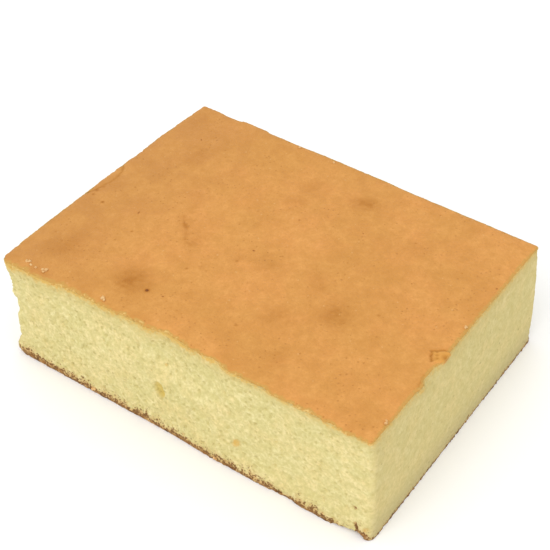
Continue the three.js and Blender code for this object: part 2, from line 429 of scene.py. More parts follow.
# The spots: place along the front, height, reach and strength, and the shape that they share
BROWN_SPOTS = [(31.0, 17.8, 2.2, 0.9), (99.4, 6.5, 1.4, 0.7)]
SPOT_ACROSS, SPOT_UP, SPOT_LEAN, SPOT_FALL = 0.95, 0.9, 0.45, 2.5

lumps = unevenness(wall_points, grain=2.3, seed=11.0)
specks = unevenness(wall_points, grain=1.3, seed=12.0)
below_skin = np.clip(HEIGHT - np.tile(skin_depth, CRUMB_ROWS) - all_z + LUMP_HEIGHT * lumps, 0, None)
toast = by_wall(crumb_out, TOASTING) * np.exp(-below_skin / TOAST_DEPTH)
toast += by_wall(crumb_out, GOLDEN) * np.exp(-below_skin / GOLDEN_DEPTH)
toast *= 1 - TOAST_LEAN * crumb_front * np.clip(2 * all_a, 0, 1)
for x, z, reach, browning in BROWN_SPOTS:
    aside = wall_points[:, 0] - x
    far = np.hypot(SPOT_ACROSS * aside, SPOT_UP * (all_z - z - SPOT_LEAN * aside)) / reach
    toast = np.maximum(toast, browning * np.exp(-(far**SPOT_FALL)) * crumb_front)

above_crust = np.clip(all_z - np.tile(crust_height, CRUMB_ROWS), 0, None)
thinning = np.exp(-above_crust / SPECK_HEIGHT)
stain_and_crack_shade = smooth(np.clip(1 - (above_crust - LUMP_HEIGHT * lumps) / STAIN_HEIGHT, 0, 1))
stain_and_crack_shade = np.maximum(STAIN_STRENGTH * stain_and_crack_shade, np.clip(SPECK_SHARPNESS * specks - SPECK_LEVEL, 0, 1) * thinning)
stain_and_crack_shade = np.maximum(stain_and_crack_shade, HAZE_STRENGTH * thinning * (1 + lumps))
stain_and_crack_shade *= by_wall(crumb_out, STAINING)
# The crack and the deep pore take the darkest value, as painted shade
stain_and_crack_shade = np.maximum(stain_and_crack_shade, crack)
print(f"toast up to {toast.max():.2f}, stain up to {stain_and_crack_shade.max():.2f}")

# %% [markdown]
# Now the net is closed and made. Five numbers ride on every point for the relief and the colours: how open
# the crumb is (the knife smeared the right wall shut), how toasted it is, how stained it is (the crack
# and the pore get painted shade through the same number), how deep in the bubble it lies, and how squarely
# it looks to the smeared right.

# %% The crumb block
OPENNESS = {"left": 1.0, "right": 0.45, "front": 1.0, "back": 1.0}
OPENNESS_LEAN, LEAN_RISE = 0.28, 1.4
# The row under the skin stays more closed, so that no pore opens a gap there
TOP_ROW_OPENNESS = 0.4
# The cap lies lower inside, well under the skin
CAP_INSET, CAP_DROP = 2.6, 1.3


def make_piece(name, points, faces, **attributes):
    """A linked object from points in millimetres, with one number for each point in each attribute."""
    mesh = bpy.data.meshes.new(name)
    mesh.from_pydata((np.asarray(points) * MM).tolist(), [], faces)
    for label, values in attributes.items():
        layer = mesh.attributes.new(label, "FLOAT", "POINT")
        layer.data.foreach_set("value", np.asarray(values, np.float32))
    mesh.shade_smooth()
    piece = bpy.data.objects.new(name, mesh)
    bpy.context.scene.collection.objects.link(piece)
    return piece


openness = by_wall(crumb_out, OPENNESS) * np.where(all_z < CRUMB_TOP, 1.0, TOP_ROW_OPENNESS)
openness *= 1 - OPENNESS_LEAN * crumb_front * smooth(np.clip(LEAN_RISE * all_a, 0, 1))
crumb_numbers = {
    "openness": openness, "toast": toast, "stain_and_crack_shade": stain_and_crack_shade, "pocket": pocket / POCKET_DEPTH,
    "smear": facing(crumb_out, "right"),
}
cap_plan, _ = outline(ring_a, ring_b, CRUMB_TOP, proud=-CAP_INSET)
middles = [(0, 0, CRUMB_FOOT), (0, 0, CRUMB_TOP - CAP_DROP)]
crumb_points = np.concatenate([wall_points, at_height(cap_plan, CRUMB_TOP - CAP_DROP), middles])
crumb_faces = stack_faces(CRUMB_ROWS + 1)
# The hidden cap and the two middles have a zero for each number
hidden = np.zeros(RING + len(middles))
crumb = make_piece(
    "crumb_block", crumb_points, crumb_faces,
    **{label: np.concatenate([values, hidden]) for label, values in crumb_numbers.items()},
)
print(f"crumb block: {len(crumb_points)} points, {len(crumb_faces)} faces")

# %% [markdown]
# ## A few helpers for node trees
#
# Both the relief and the materials are node trees. Written out in full they are long, so these helpers
# add a node, link or set a socket, and do sums. The same helpers serve geometry trees and shader trees,
# because Blender's math and texture nodes work in both.

# %% Node helpers
def add_node(tree, kind, **settings):
    node = tree.nodes.new(kind)
    for label, value in settings.items():
        setattr(node, label, value)
    return node


def feed(tree, socket, value):
    """Links a socket to another socket, or sets it to a plain value."""
    if isinstance(value, bpy.types.NodeSocket):
        tree.links.new(value, socket)
    else:
        socket.default_value = value


def feed_all(tree, node, values):
    for label, value in values.items():
        feed(tree, node.inputs[label], value)


def calc(tree, operation, *values, clamp=False):
    node = add_node(tree, "ShaderNodeMath", operation=operation, use_clamp=clamp)
    for socket, value in zip(node.inputs, values):
        feed(tree, socket, value)
    return node.outputs[0]


def times(tree, first, second):
    return calc(tree, "MULTIPLY", first, second)


def vector_calc(tree, operation, first, second):
    node = add_node(tree, "ShaderNodeVectorMath", operation=operation)
    feed(tree, node.inputs[0], first)
    feed(tree, node.inputs["Scale" if operation == "SCALE" else 1], second)
    return node.outputs["Vector"]


def ramp(tree, value, low, high, to_low=0.0, to_high=1.0):
    """Smoothly maps the range low to high on to another range."""
    node = add_node(tree, "ShaderNodeMapRange", interpolation_type="SMOOTHSTEP")
    labels = ("Value", "From Min", "From Max", "To Min", "To Max")
    feed_all(tree, node, dict(zip(labels, (value, low, high, to_low, to_high))))
    return node.outputs["Result"]


def axis(tree, vector, index):
    """One of a vector's three numbers."""
    split = add_node(tree, "ShaderNodeSeparateXYZ")
    feed(tree, split.inputs[0], vector)
    return split.outputs[index]


print("node helpers: sums, ramps and sockets")

# %% [markdown]
# Three textures are enough for the whole cake: cloudy noise, the same noise used to push coordinates
# about, and cells round scattered centres. Each takes a size, which is easier to judge than a scale.

# %% Texture helpers
def noise_node(tree, vector, size, seed):
    node = add_node(tree, "ShaderNodeTexNoise", noise_dimensions="4D")
    feed_all(tree, node, {"Vector": vector, "W": seed, "Scale": calc(tree, "DIVIDE", 1.0, size)})
    return node


def noise(tree, vector, size, seed, detail=2.0, roughness=0.5):
    """Cloudy noise between 0 and 1, with clouds about one size wide."""
    node = noise_node(tree, vector, size, seed)
    feed_all(tree, node, {"Detail": detail, "Roughness": roughness})
    return node.outputs[0]


def warp(tree, vector, size, amount, seed):
    """Pushes coordinates about, so that what follows loses its straight or round edges."""
    node = noise_node(tree, vector, size, seed)
    push = vector_calc(tree, "SUBTRACT", node.outputs["Color"], (0.5, 0.5, 0.5))
    return vector_calc(tree, "ADD", vector, vector_calc(tree, "SCALE", push, amount))


def cells(tree, vector, size, seed):
    """Distance to the nearest of scattered centres, and one random number for each centre."""
    node = add_node(tree, "ShaderNodeTexVoronoi", voronoi_dimensions="3D")
    feed(tree, node.inputs["Vector"], vector_calc(tree, "ADD", vector, seed))
    feed(tree, node.inputs["Scale"], calc(tree, "DIVIDE", 1.0, size))
    return node.outputs["Distance"], axis(tree, node.outputs["Color"], 0)


print("texture helpers: noise, warp and cells")

# %% [markdown]
# ## Shared finishes
#
# Two effects turn up in every part of the cake. Baking leaves soft clouds of lighter and darker colour,
# and rising air leaves pinholes. Each is a shader group with named inputs, built once, so that the skin,
# the crumb and the base crust can use it with their own sizes.

# %% Group for baked clouds and group for pinholes
PINHOLE_WARP = 0.3
PINHOLE_CORE = 0.4
FLOAT, VECTOR = "NodeSocketFloat", "NodeSocketVector"
GEOMETRY, MATERIAL = "NodeSocketGeometry", "NodeSocketMaterial"


def open_tree(name, kind, inputs, outputs):
    """A node group with named sockets, given as (name, socket type, default)."""
    tree = bpy.data.node_groups.new(name, kind)
    for label, socket_type, default in inputs:
        socket = tree.interface.new_socket(name=label, in_out="INPUT", socket_type=socket_type)
        if default is not None:
            socket.default_value = default
    for label, socket_type in outputs:
        tree.interface.new_socket(name=label, in_out="OUTPUT", socket_type=socket_type)
    way_in = add_node(tree, "NodeGroupInput").outputs
    way_out = add_node(tree, "NodeGroupOutput").inputs
    return tree, way_in, way_out


def clouds_group():
    tree, way_in, way_out = open_tree(
        "Baked clouds", "ShaderNodeTree",
        [("Vector", VECTOR, None), ("Size", FLOAT, 0.01), ("Contrast", FLOAT, 0.2), ("Seed", FLOAT, 0.0)],
        [("Mask", FLOAT)],
    )
    cloud = noise(tree, way_in["Vector"], way_in["Size"], way_in["Seed"], detail=3.0, roughness=0.55)
    low = calc(tree, "SUBTRACT", 0.5, way_in["Contrast"])
    high = calc(tree, "ADD", 0.5, way_in["Contrast"])
    feed(tree, way_out["Mask"], ramp(tree, cloud, low, high))
    return tree


def pinholes_group():
    tree, way_in, way_out = open_tree(
        "Pinholes", "ShaderNodeTree",
        [("Vector", VECTOR, None), ("Spacing", FLOAT, 0.005), ("Width", FLOAT, 0.2),
         ("Share", FLOAT, 0.5), ("Seed", FLOAT, 0.0)],
        [("Mask", FLOAT)],
    )
    push = times(tree, way_in["Spacing"], PINHOLE_WARP)
    uneven = warp(tree, way_in["Vector"], push, push, way_in["Seed"])
    distance, chance = cells(tree, uneven, way_in["Spacing"], way_in["Seed"])
    hole = ramp(tree, distance, way_in["Width"], times(tree, way_in["Width"], PINHOLE_CORE))
    chosen = calc(tree, "LESS_THAN", chance, way_in["Share"])
    feed(tree, way_out["Mask"], times(tree, hole, chosen))
    return tree


CLOUDS, PINHOLES = clouds_group(), pinholes_group()
print("shared groups:", [group.name for group in (CLOUDS, PINHOLES)])

# %% [markdown]
# A material is then a pile of thin layers. It starts as one tone, and each layer lays another tone over
# the colour so far, through a mask from one of the groups or from a number on the mesh. What is too fine
# to be shape is left to a bump.

# %% Paint in layers
class Paint:
    """A material in the making."""

    def __init__(self, name, tone):
        self.material = bpy.data.materials.new(name)
        self.material.use_nodes = True
        self.tree = self.material.node_tree
        self.shader = self.tree.nodes["Principled BSDF"]
        self.place = add_node(self.tree, "ShaderNodeTexCoord").outputs["Object"]
        self.colour = (*tone, 1.0)

    def effect(self, group, **values):
        """The mask of a shared group."""
        node = add_node(self.tree, "ShaderNodeGroup", node_tree=group)
        feed_all(self.tree, node, {"Vector": self.place, **values})
        return node.outputs["Mask"]

    def clouds(self, size, contrast, seed):
        return self.effect(CLOUDS, Size=size, Contrast=contrast, Seed=seed)

    def pinholes(self, spacing, width, share, seed):
        return self.effect(PINHOLES, Spacing=spacing, Width=width, Share=share, Seed=seed)

    def number(self, label):
        """A number that rides on the points of the mesh."""
        return add_node(self.tree, "ShaderNodeAttribute", attribute_name=label).outputs["Fac"]

    def speckled(self, mask, amount):
        """Breaks a soft mask up into specks, and leaves it alone where it is 0."""
        speck = self.clouds(size=0.0012, contrast=0.25, seed=9.0)
        push = times(self.tree, calc(self.tree, "SUBTRACT", speck, 0.5), 2 * amount)
        return calc(self.tree, "MULTIPLY", mask, calc(self.tree, "ADD", push, 1.0), clamp=True)

    def lay(self, tone, mask, strength=None):
        """Lays a tone over the colour so far, at full strength or at the one given."""
        node = add_node(self.tree, "ShaderNodeMix", data_type="RGBA", clamp_factor=True)
        amount = mask if strength is None else times(self.tree, mask, strength)
        for index, value in ((0, amount), (6, self.colour), (7, (*tone, 1.0))):
            feed(self.tree, node.inputs[index], value)
        self.colour = node.outputs[2]

    def finish(self, roughness, gloss, bump=None, depth=0.0):
        """Joins everything to the shader, with a bump of some depth if there is one."""
        values = {"Base Color": self.colour, "Roughness": roughness, "Specular IOR Level": gloss}
        if bump is not None:
            node = add_node(self.tree, "ShaderNodeBump")
            feed_all(self.tree, node, {"Strength": 1.0, "Distance": depth, "Height": bump})
            values["Normal"] = node.outputs["Normal"]
        feed_all(self.tree, self.shader, values)
        return self.material


print("paint can be laid on through", CLOUDS.name, "and", PINHOLES.name)

# %% [markdown]
# ## The crumb's colours
#
# Butter and egg make the crumb a pale warm yellow. Grains that stand proud get a painted highlight in
# cream, and the gaps and pores between them get painted shade in deeper yellow, following the relief.
# Just under the skin it turns darker and golden, and just above the base crust it turns tan. A few orange
# flecks are grains of browned sugar.

# %% Crumb material
# Tones for painted shade in the gaps and a painted highlight on proud grains
CRUMB_GAP_SHADE_TONE, CRUMB_GRAIN_HIGHLIGHT_TONE = (0.600, 0.512, 0.208), (0.768, 0.690, 0.345)
# Tone, strength in closed and in open crumb, and the clouds' size in metres, contrast and seed
CRUMB_CLOUDS = [
    ((0.788, 0.632, 0.292), (0.68, 0.68), (0.013, 0.12, 1.0)),
    ((0.860, 0.755, 0.425), (0.32, 0.32), (0.0060, 0.11, 6.0)),
    ((0.575, 0.505, 0.205), (0.35, 0.48), (0.0034, 0.10, 8.0)),
    ((0.520, 0.445, 0.170), (0.25, 0.45), (0.0016, 0.10, 5.0)),
]


def crumb_material():
    paint = Paint("yellow_crumb", CRUMB_GAP_SHADE_TONE)
    tree, openness = paint.tree, paint.number("openness")
    # Painted highlight on proud grains and painted shade in gaps and pores, from the relief's grain number
    paint.lay(CRUMB_GRAIN_HIGHLIGHT_TONE, paint.number("grain"))
    for tone, strength, cloud in CRUMB_CLOUDS:
        paint.lay(tone, paint.clouds(*cloud), ramp(tree, openness, 0.0, 0.7, *strength))
    # The smeared right wall is duller, and near its foot painted shade darkens it more towards the floor
    smeared = ramp(tree, paint.number("smear"), 0.18, 1.05)
    paint.lay((0.560, 0.430, 0.168), smeared, 0.35)
    painted_foot_shade = times(tree, smeared, ramp(tree, axis(tree, paint.place, 2), 0.022, -0.004))
    paint.lay((0.485, 0.418, 0.210), painted_foot_shade, 0.7)
    # Painted shade in the pores and in the pits of the smeared wall, flecks of sugar, and the inside of the
    # bubble: partly its own warmer yellow, partly painted shade in the hollow
    pores = paint.pinholes(spacing=0.0026, width=0.40, share=0.32, seed=2.0)
    pores = times(tree, pores, ramp(tree, openness, 0.3, 1.0, 0.2, 0.5))
    paint.lay((0.45, 0.365, 0.115), pores)
    pits = paint.pinholes(spacing=0.0065, width=0.10, share=0.6, seed=10.0)
    paint.lay((0.33, 0.26, 0.09), pits, times(tree, smeared, 0.7))
    flecks = paint.pinholes(spacing=0.013, width=0.08, share=0.2, seed=3.0)
    paint.lay((0.66, 0.40, 0.10), flecks, 0.45)
    paint.lay((0.62, 0.465, 0.112), paint.number("pocket"))
    # Browning from the skin above and from the crust below, a plain darkening just under the skin, and
    # painted shade in the crack and the pore, which ride on the stain number
    toast, stain_and_crack_shade = paint.number("toast"), paint.number("stain_and_crack_shade")
    # A plain darker, greyer tone just under the skin
    paint.lay((0.450, 0.385, 0.165), ramp(tree, toast, 0.02, 0.25, 0.0, 0.2))
    paint.lay((0.650, 0.408, 0.105), ramp(tree, paint.speckled(toast, 0.5), 0.0, 0.95), 0.95)
    paint.lay((0.600, 0.385, 0.155), ramp(tree, stain_and_crack_shade, 0.0, 0.7, 0.0, 0.9))
    speck = paint.clouds(size=0.0011, contrast=0.17, seed=9.0)
    paint.lay((0.17, 0.073, 0.021), ramp(tree, calc(tree, "ADD", stain_and_crack_shade, speck), 0.95, 1.25), 0.9)
    fine = noise(tree, paint.place, size=0.0008, seed=4.0, detail=3.0, roughness=0.6)
    bump = calc(tree, "SUBTRACT", fine, pores)
    return paint.finish(roughness=0.9, gloss=0.2, bump=bump, depth=0.0004)


CRUMB = crumb_material()
print("material:", CRUMB.name)

# %% [markdown]
# ## Crumb relief
#
# The cut crumb is a field of small grains with gaps and pores between them. Modelling each grain is
# hopeless, but the rule behind them is simple, so a Geometry Nodes tree does it: warped noise makes the
# grains, wider noise makes the knife's drag, and sparse scattered cells sink the pores. It moves every
# point of the net along its normal and keeps the grain height, less the pores, as an attribute. The
# colours turn that attribute into a painted highlight on proud grains and painted shade in gaps and pores.

# %% Geometry tree for the crumb
PORE_EDGE, PORE_CORE, PORE_CHANCE = 0.40, 0.10, 0.5
GRAIN_LOW, GRAIN_HIGH = 0.33, 0.67


def stored(tree, label):
    """A number that rides on the points of the mesh."""
    node = add_node(tree, "GeometryNodeInputNamedAttribute", data_type="FLOAT")
    node.inputs["Name"].default_value = label
    return node.outputs["Attribute"]


def move_and_paint(tree, geometry, height, way_in, way_out):
    """Ends a tree: moves the points along their normals, makes all real and sets the material."""
    normal = add_node(tree, "GeometryNodeInputNormal").outputs[0]
    shift = add_node(tree, "GeometryNodeSetPosition")
    feed_all(tree, shift, {"Geometry": geometry, "Offset": vector_calc(tree, "SCALE", normal, height)})
    solid = add_node(tree, "GeometryNodeRealizeInstances")
    feed(tree, solid.inputs[0], shift.outputs[0])
    paint = add_node(tree, "GeometryNodeSetMaterial")
    feed_all(tree, paint, {"Geometry": solid.outputs[0], "Material": way_in["Material"]})
    feed(tree, way_out["Geometry"], paint.outputs[0])


def relief_tree():
    tree, way_in, way_out = open_tree(
        "Crumb relief", "GeometryNodeTree",
        [("Geometry", GEOMETRY, None), ("Grain", FLOAT, 0.002), ("Grain depth", FLOAT, 0.0003),
         ("Drag", FLOAT, 0.008), ("Drag depth", FLOAT, 0.0005), ("Pore spacing", FLOAT, 0.005),
         ("Pore depth", FLOAT, 0.0008), ("Seed", FLOAT, 0.0), ("Material", MATERIAL, None)],
        [("Geometry", GEOMETRY)],
    )
    place = add_node(tree, "GeometryNodeInputPosition").outputs[0]
    seed, opening = way_in["Seed"], stored(tree, "openness")
    uneven = warp(tree, place, way_in["Grain"], way_in["Grain"], seed)
    grain = noise(tree, uneven, way_in["Grain"], seed, detail=4.0, roughness=0.75)
    grain = ramp(tree, grain, GRAIN_LOW, GRAIN_HIGH)
    drag = noise(tree, place, way_in["Drag"], seed, detail=4.0, roughness=0.62)
    pore_distance, chance = cells(tree, uneven, way_in["Pore spacing"], seed)
    chosen = calc(tree, "GREATER_THAN", chance, PORE_CHANCE)
    pore = times(tree, ramp(tree, pore_distance, PORE_EDGE, PORE_CORE), chosen)

    raised = times(tree, calc(tree, "SUBTRACT", grain, 0.5), way_in["Grain depth"])
    dragged = times(tree, calc(tree, "SUBTRACT", drag, 0.5), way_in["Drag depth"])
    sunk = times(tree, pore, way_in["Pore depth"])
    height = calc(tree, "SUBTRACT", calc(tree, "ADD", raised, dragged), sunk)

    # Stored grain number as painted light: high on proud grains, low in gaps and pores, middle where closed
    painted_grain_light = calc(tree, "SUBTRACT", calc(tree, "SUBTRACT", grain, pore), 0.5)
    painted_grain_light = calc(tree, "ADD", times(tree, painted_grain_light, opening), 0.5, clamp=True)
    shade = add_node(tree, "GeometryNodeStoreNamedAttribute", data_type="FLOAT", domain="POINT")
    feed_all(tree, shade, {"Geometry": way_in["Geometry"], "Name": "grain", "Value": painted_grain_light})
    move_and_paint(tree, shade.outputs["Geometry"], times(tree, height, opening), way_in, way_out)
    return tree


RELIEF = relief_tree()
print("geometry tree:", RELIEF.name)

# %% [markdown]
# A tree only describes the relief. To keep it, we run the tree on the piece as a modifier, take the result
# as a plain mesh, and remove the modifier again. Points that the relief pushed under the floor are put
# back on it.

# %% Relief on the crumb block
def apply_tree(piece, tree, values):
    """Runs a geometry tree on a piece and keeps the result as its plain mesh."""
    modifier = piece.modifiers.new(tree.name, "NODES")
    modifier.node_group = tree
    for socket in tree.interface.items_tree:
        if socket.in_out == "INPUT" and socket.name in values:
            modifier[socket.identifier] = values[socket.name]
    bpy.context.view_layer.update()
    depsgraph = bpy.context.evaluated_depsgraph_get()
    made = bpy.data.meshes.new_from_object(
        piece.evaluated_get(depsgraph), preserve_all_data_layers=True, depsgraph=depsgraph
    )
    piece.modifiers.remove(modifier)
    plain = piece.data
    piece.data = made
    bpy.data.meshes.remove(plain)
    made.name = piece.name


def settle(piece):
    """Keeps a piece on the floor where its relief pushed points below it."""
    for vertex in piece.data.vertices:
        vertex.co.z = max(vertex.co.z, 0.0)


apply_tree(crumb, RELIEF, {
    "Grain": 2.0 * MM, "Grain depth": 0.52 * MM, "Drag": 5.5 * MM, "Drag depth": 1.4 * MM,
    "Pore spacing": 2.8 * MM, "Pore depth": 0.9 * MM, "Seed": 7.0, "Material": CRUMB,
})
settle(crumb)
print(f"crumb relief: {len(crumb.data.vertices)} points moved")

# %% [markdown]
# ## The browned skin
#
# The skin is a thin sheet that lies on the crumb and shows about a millimetre of torn edge on the walls.
# It is one grid across the top, then rings that round over the edge, run down the wall to the ragged depth
# found above, and turn in under the sheet where nobody sees them.
#
# Three flaws are part of its shape: a flap that tore loose on the right edge, a tag of skin in front of
# it, and a crack that lifts a sliver along the left edge. All are grooves in the sheet, so we measure how
# far each point is from them. The flap also has pits and a fold.

# %% Grooves in the skin
FLAP_CORNER = np.array([92.0, -14.9])
FLAP_ALONG, FLAP_ACROSS = np.array([0.80, 0.60]), np.array([0.53, -0.85])
FLAP_LENGTH, FLAP_WIDTH = 7.4, 7.3
FLAP_OVERHANG, FLAP_SOFTNESS = 2.5, 0.8
FLAP_PATH = [
    FLAP_CORNER + FLAP_LENGTH * FLAP_ALONG, FLAP_CORNER, FLAP_CORNER + 0.85 * FLAP_WIDTH * FLAP_ACROSS,
]
TAG_PATH = [(97.2, -29.4), (97.6, -32.8), (98.4, -36.6)]
SLIVER_PATH = [(-102.5, 12), (-100.1, 10.6), (-97.7, 5.7), (-97.3, -0.9), (-99, -8.9), (-102, -16.5)]
# Each groove's path and strength, and each pit's place and width; the last pit is the flap's fold
GROOVES = [(FLAP_PATH, 1.0), (TAG_PATH, 0.7), (SLIVER_PATH, 0.75)]
PITS = [(94.5, -14.4, 0.7), (95.6, -16.2, 0.7), (96.5, -17.9, 0.7), (99.4, -15.2, 1.7)]
GROOVE_WIDTH = 0.5
GROOVE_SWAY = [(0.35, 1.8, (51.0, 52.0))]


def groove(points):
    """1 in the bottom of a groove or pit, 0 away from them."""
    flat = at_height(points, 0)
    swayed = points + sway(flat, GROOVE_SWAY)
    strength = np.zeros(len(points))
    for path, depth in GROOVES:
        strength = np.maximum(strength, depth * bell(distance_to_path(swayed, path), GROOVE_WIDTH))
    for x, y, width in PITS:
        far = np.linalg.norm(points - np.array([x, y]), axis=1)
        strength = np.maximum(strength, bell(far, width))
    return strength * (0.9 + 0.3 * unevenness(flat, grain=2.5, seed=53.0))


def on_flap(points):
    """1 on the torn flap, 0 away from it."""
    along, across = (points - FLAP_CORNER) @ FLAP_ALONG, (points - FLAP_CORNER) @ FLAP_ACROSS
    edges = (along, across, FLAP_LENGTH + FLAP_OVERHANG - along, FLAP_WIDTH - across)
    return np.prod([smooth(np.clip(edge / FLAP_SOFTNESS, 0, 1)) for edge in edges], axis=0)


print(f"skin flaws: {len(GROOVES)} grooves and {len(PITS)} pits")

# %% [markdown]
# The skin's colour is not even either. Where the batter blistered, the oven left soft dark blotches. Each
# blotch has a place, a radius and a strength, and one long streak is a row of small ones. They go on to
# the sheet as an attribute.

# %% Scorch blotches
BLOTCHES = [
    (15, 53.5, 5.5, 0.95), (-42.5, -54, 8.0, 1.0), (-35, -53, 4.0, 0.5), (46, -20, 7.0, 0.8),
    (-83.5, -51.5, 8.0, 0.6), (26, -33, 7.0, 0.45), (29, -7, 5.0, 0.3), (2.5, -7.5, 6.0, 0.32),
    (-75, 43, 6.0, 0.3), (-75, 35, 6.0, 0.3), (-13, 53, 6.5, 0.38), (-13, 36, 4.5, 0.35),
    (52, 40, 6.0, 0.3), (38.5, -56.5, 5.0, 0.3), (-10.7, -15, 2.5, 0.35), (-62, 22, 3.5, 0.22),
    (-57, 13, 3.5, 0.30), (-52, 4, 3.5, 0.35), (-47.5, -5, 3.5, 0.45), (-42, -12, 3.5, 0.5),
    (-36.5, -16, 4.0, 0.5), (-92, 66, 8.0, 0.25),
]
# Burnt specks, also with a place, a radius and a strength
SPECKS = [
    (-32.6, -54.6, 1.3, 2.2), (-90.4, -17.1, 0.8, 1.8), (-98.9, -11.5, 0.9, 1.6), (-64.6, -26.3, 0.6, 1.6),
    (-27, -32.6, 0.6, 1.5), (-11, -15.2, 0.6, 1.5), (13.7, -50, 0.6, 1.5), (-4, 26, 0.5, 1.5),
    (50.6, 43, 0.5, 1.5), (62, -9, 0.5, 1.5), (-46.6, -7.5, 0.5, 1.5), (-40.3, -16.5, 0.6, 1.5),
    (-97.7, -7.8, 0.6, 1.5), (-98.2, -14.8, 0.7, 1.5),
]
# A thin crack in the skin that browned, inside the long streak
STREAK = [(-51.6, -2.3), (-45.9, -8.5), (-42.4, -12.4), (-39.5, -16.6), (-35.6, -18.3)]
STREAK_REACH, STREAK_STRENGTH, STREAK_SWAY = 1.3, 0.75, 0.3
SCORCH_SWAY = [(2.2, 8.0, (8.0, 18.0)), (0.8, 2.8, (28.0, 38.0))]


def darkest(darkness, points, spots):
    """Keeps the darker of what is there and round spots with a place, a radius and a strength."""
    for x, y, radius, strength in spots:
        far = np.linalg.norm(points - np.array([x, y]), axis=1)
        darkness = np.maximum(darkness, strength * bell(far, radius))
    return darkness


def scorch_at(points):
    """How dark the blotches make the skin, with wandering edges."""
    flat = at_height(points, 0)
    wander = sway(flat, SCORCH_SWAY)
    darkness = darkest(np.zeros(len(points)), points + wander, BLOTCHES)
    streak = bell(distance_to_path(points + STREAK_SWAY * wander, STREAK), STREAK_REACH)
    streak *= STREAK_STRENGTH * (1 + 0.5 * unevenness(flat, grain=4.0, seed=58.0))
    darkness = np.maximum(darkness, streak)
    darkness *= 1 + 0.35 * unevenness(flat, grain=1.5, seed=48.0)
    return darkest(darkness, points, SPECKS)


print(f"skin colour: {len(BLOTCHES)} scorch blotches, {len(SPECKS)} burnt specks")

# %% [markdown]
# Now the sheet itself. Every grid point starts on the plain block. Near an edge it is pushed the way that
# the torn outline leaves the plain block there, less and less towards the middle, so the grid follows the
# edge without folding.

# %% The skin's grid
SKIN_CORNER_RADIUS = 1.8
WORN_CORNER_RADIUS = 5.0
SKIN_GRID = 0.64
SKIN_WAVE_DEPTH = 0.35
SKIN_RIPPLE_DEPTH = 0.07
GROOVE_DEPTH = 0.5
SLIVER_LIFT, SLIVER_X, SLIVER_REACH = 0.3, -101, (6, 12)
FLAP_LIFT = 0.5
FLAP_PROUD = 1.0
EDGE_FADE = 14.0
EDGE_ROUND, EDGE_ROUND_REACH = 0.55, 1.1


def skin_rise(points):
    """Height of the sheet above the plain block: gentle waves, grooves, a lifted sliver and a flap."""
    flat = at_height(points, HEIGHT)
    rise = -SKIN_WAVE_DEPTH * (0.5 + 0.5 * unevenness(flat, grain=42.0, seed=9.0))
    rise -= SKIN_RIPPLE_DEPTH * unevenness(flat, grain=7.0, seed=10.0)
    rise -= GROOVE_DEPTH * groove(points)
    sliver = hump(points[:, 0] - SLIVER_X, SLIVER_REACH[0]) * hump(points[:, 1], SLIVER_REACH[1])
    return rise + SLIVER_LIFT * sliver + FLAP_LIFT * on_flap(points)


def plain_place(a, b):
    """Where the plain but off-square block has a place of the unit square, at the height of the skin."""
    return np.column_stack([a * LENGTH / 2, b * DEPTH / 2]) + corner_shift(a, b, np.ones(len(a)))


def skin_outline(a, b, proud=0.0):
    """The skin's torn outline for places on the edge of the unit square."""
    wander, _ = skin_edge(a, b)
    radius = np.where((a < 0) & (b < 0), WORN_CORNER_RADIUS, SKIN_CORNER_RADIUS)
    place, _ = outline(a, b, HEIGHT, wander + proud, radius)
    place[:, 0] += FLAP_PROUD * on_flap(place - np.array([FLAP_PROUD, 0]))
    return place


def edge_push(a, b):
    return skin_outline(a, b) - plain_place(a, b)


def near_edge(distance):
    """1 on an edge, smoothly down to 0 where the edge is no longer felt."""
    return smooth(np.clip(1 - distance / EDGE_FADE, 0, 1))[:, None]


across, deep = round(LENGTH / SKIN_GRID), round(DEPTH / SKIN_GRID)
lines_a, lines_b = np.linspace(-1, 1, across + 1), np.linspace(-1, 1, deep + 1)
grid_a, grid_b = (part.ravel() for part in np.meshgrid(lines_a, lines_b))
side, end = np.where(grid_a < 0, -1.0, 1.0), np.where(grid_b < 0, -1.0, 1.0)
to_side, to_end = (1 - np.abs(grid_a)) * LENGTH / 2, (1 - np.abs(grid_b)) * DEPTH / 2
inward = np.minimum(to_side, to_end)
by_side, by_end = near_edge(to_side), near_edge(to_end)
skin_plan = plain_place(grid_a, grid_b)
skin_plan += by_side * edge_push(side, grid_b) + by_end * edge_push(grid_a, end)
skin_plan -= by_side * by_end * edge_push(side, end)
top_z = HEIGHT + skin_rise(skin_plan) - EDGE_ROUND * np.exp(-inward / EDGE_ROUND_REACH)
top_points = at_height(skin_plan, top_z)
print(f"skin grid: {across + 1} x {deep + 1} points")

# %% [markdown]
# The grid's edge is a ring of points. The rings below it repeat a short profile, each at a share of the
# skin's depth, and the last one fans to a point under the sheet.

# %% The skin's rim
# Share of the depth, and how far the rim stands out, from the rounded edge to under the sheet
RIM_PROFILE = [
    (0.10, 0.07), (0.22, 0.11), (0.36, 0.12), (0.52, 0.08), (0.68, 0.0), (0.84, -0.15), (1.0, -0.45),
    (1.05, -1.2),
]
RIM_TUCK = 0.45
UNDERSIDE_DROP = 3.0

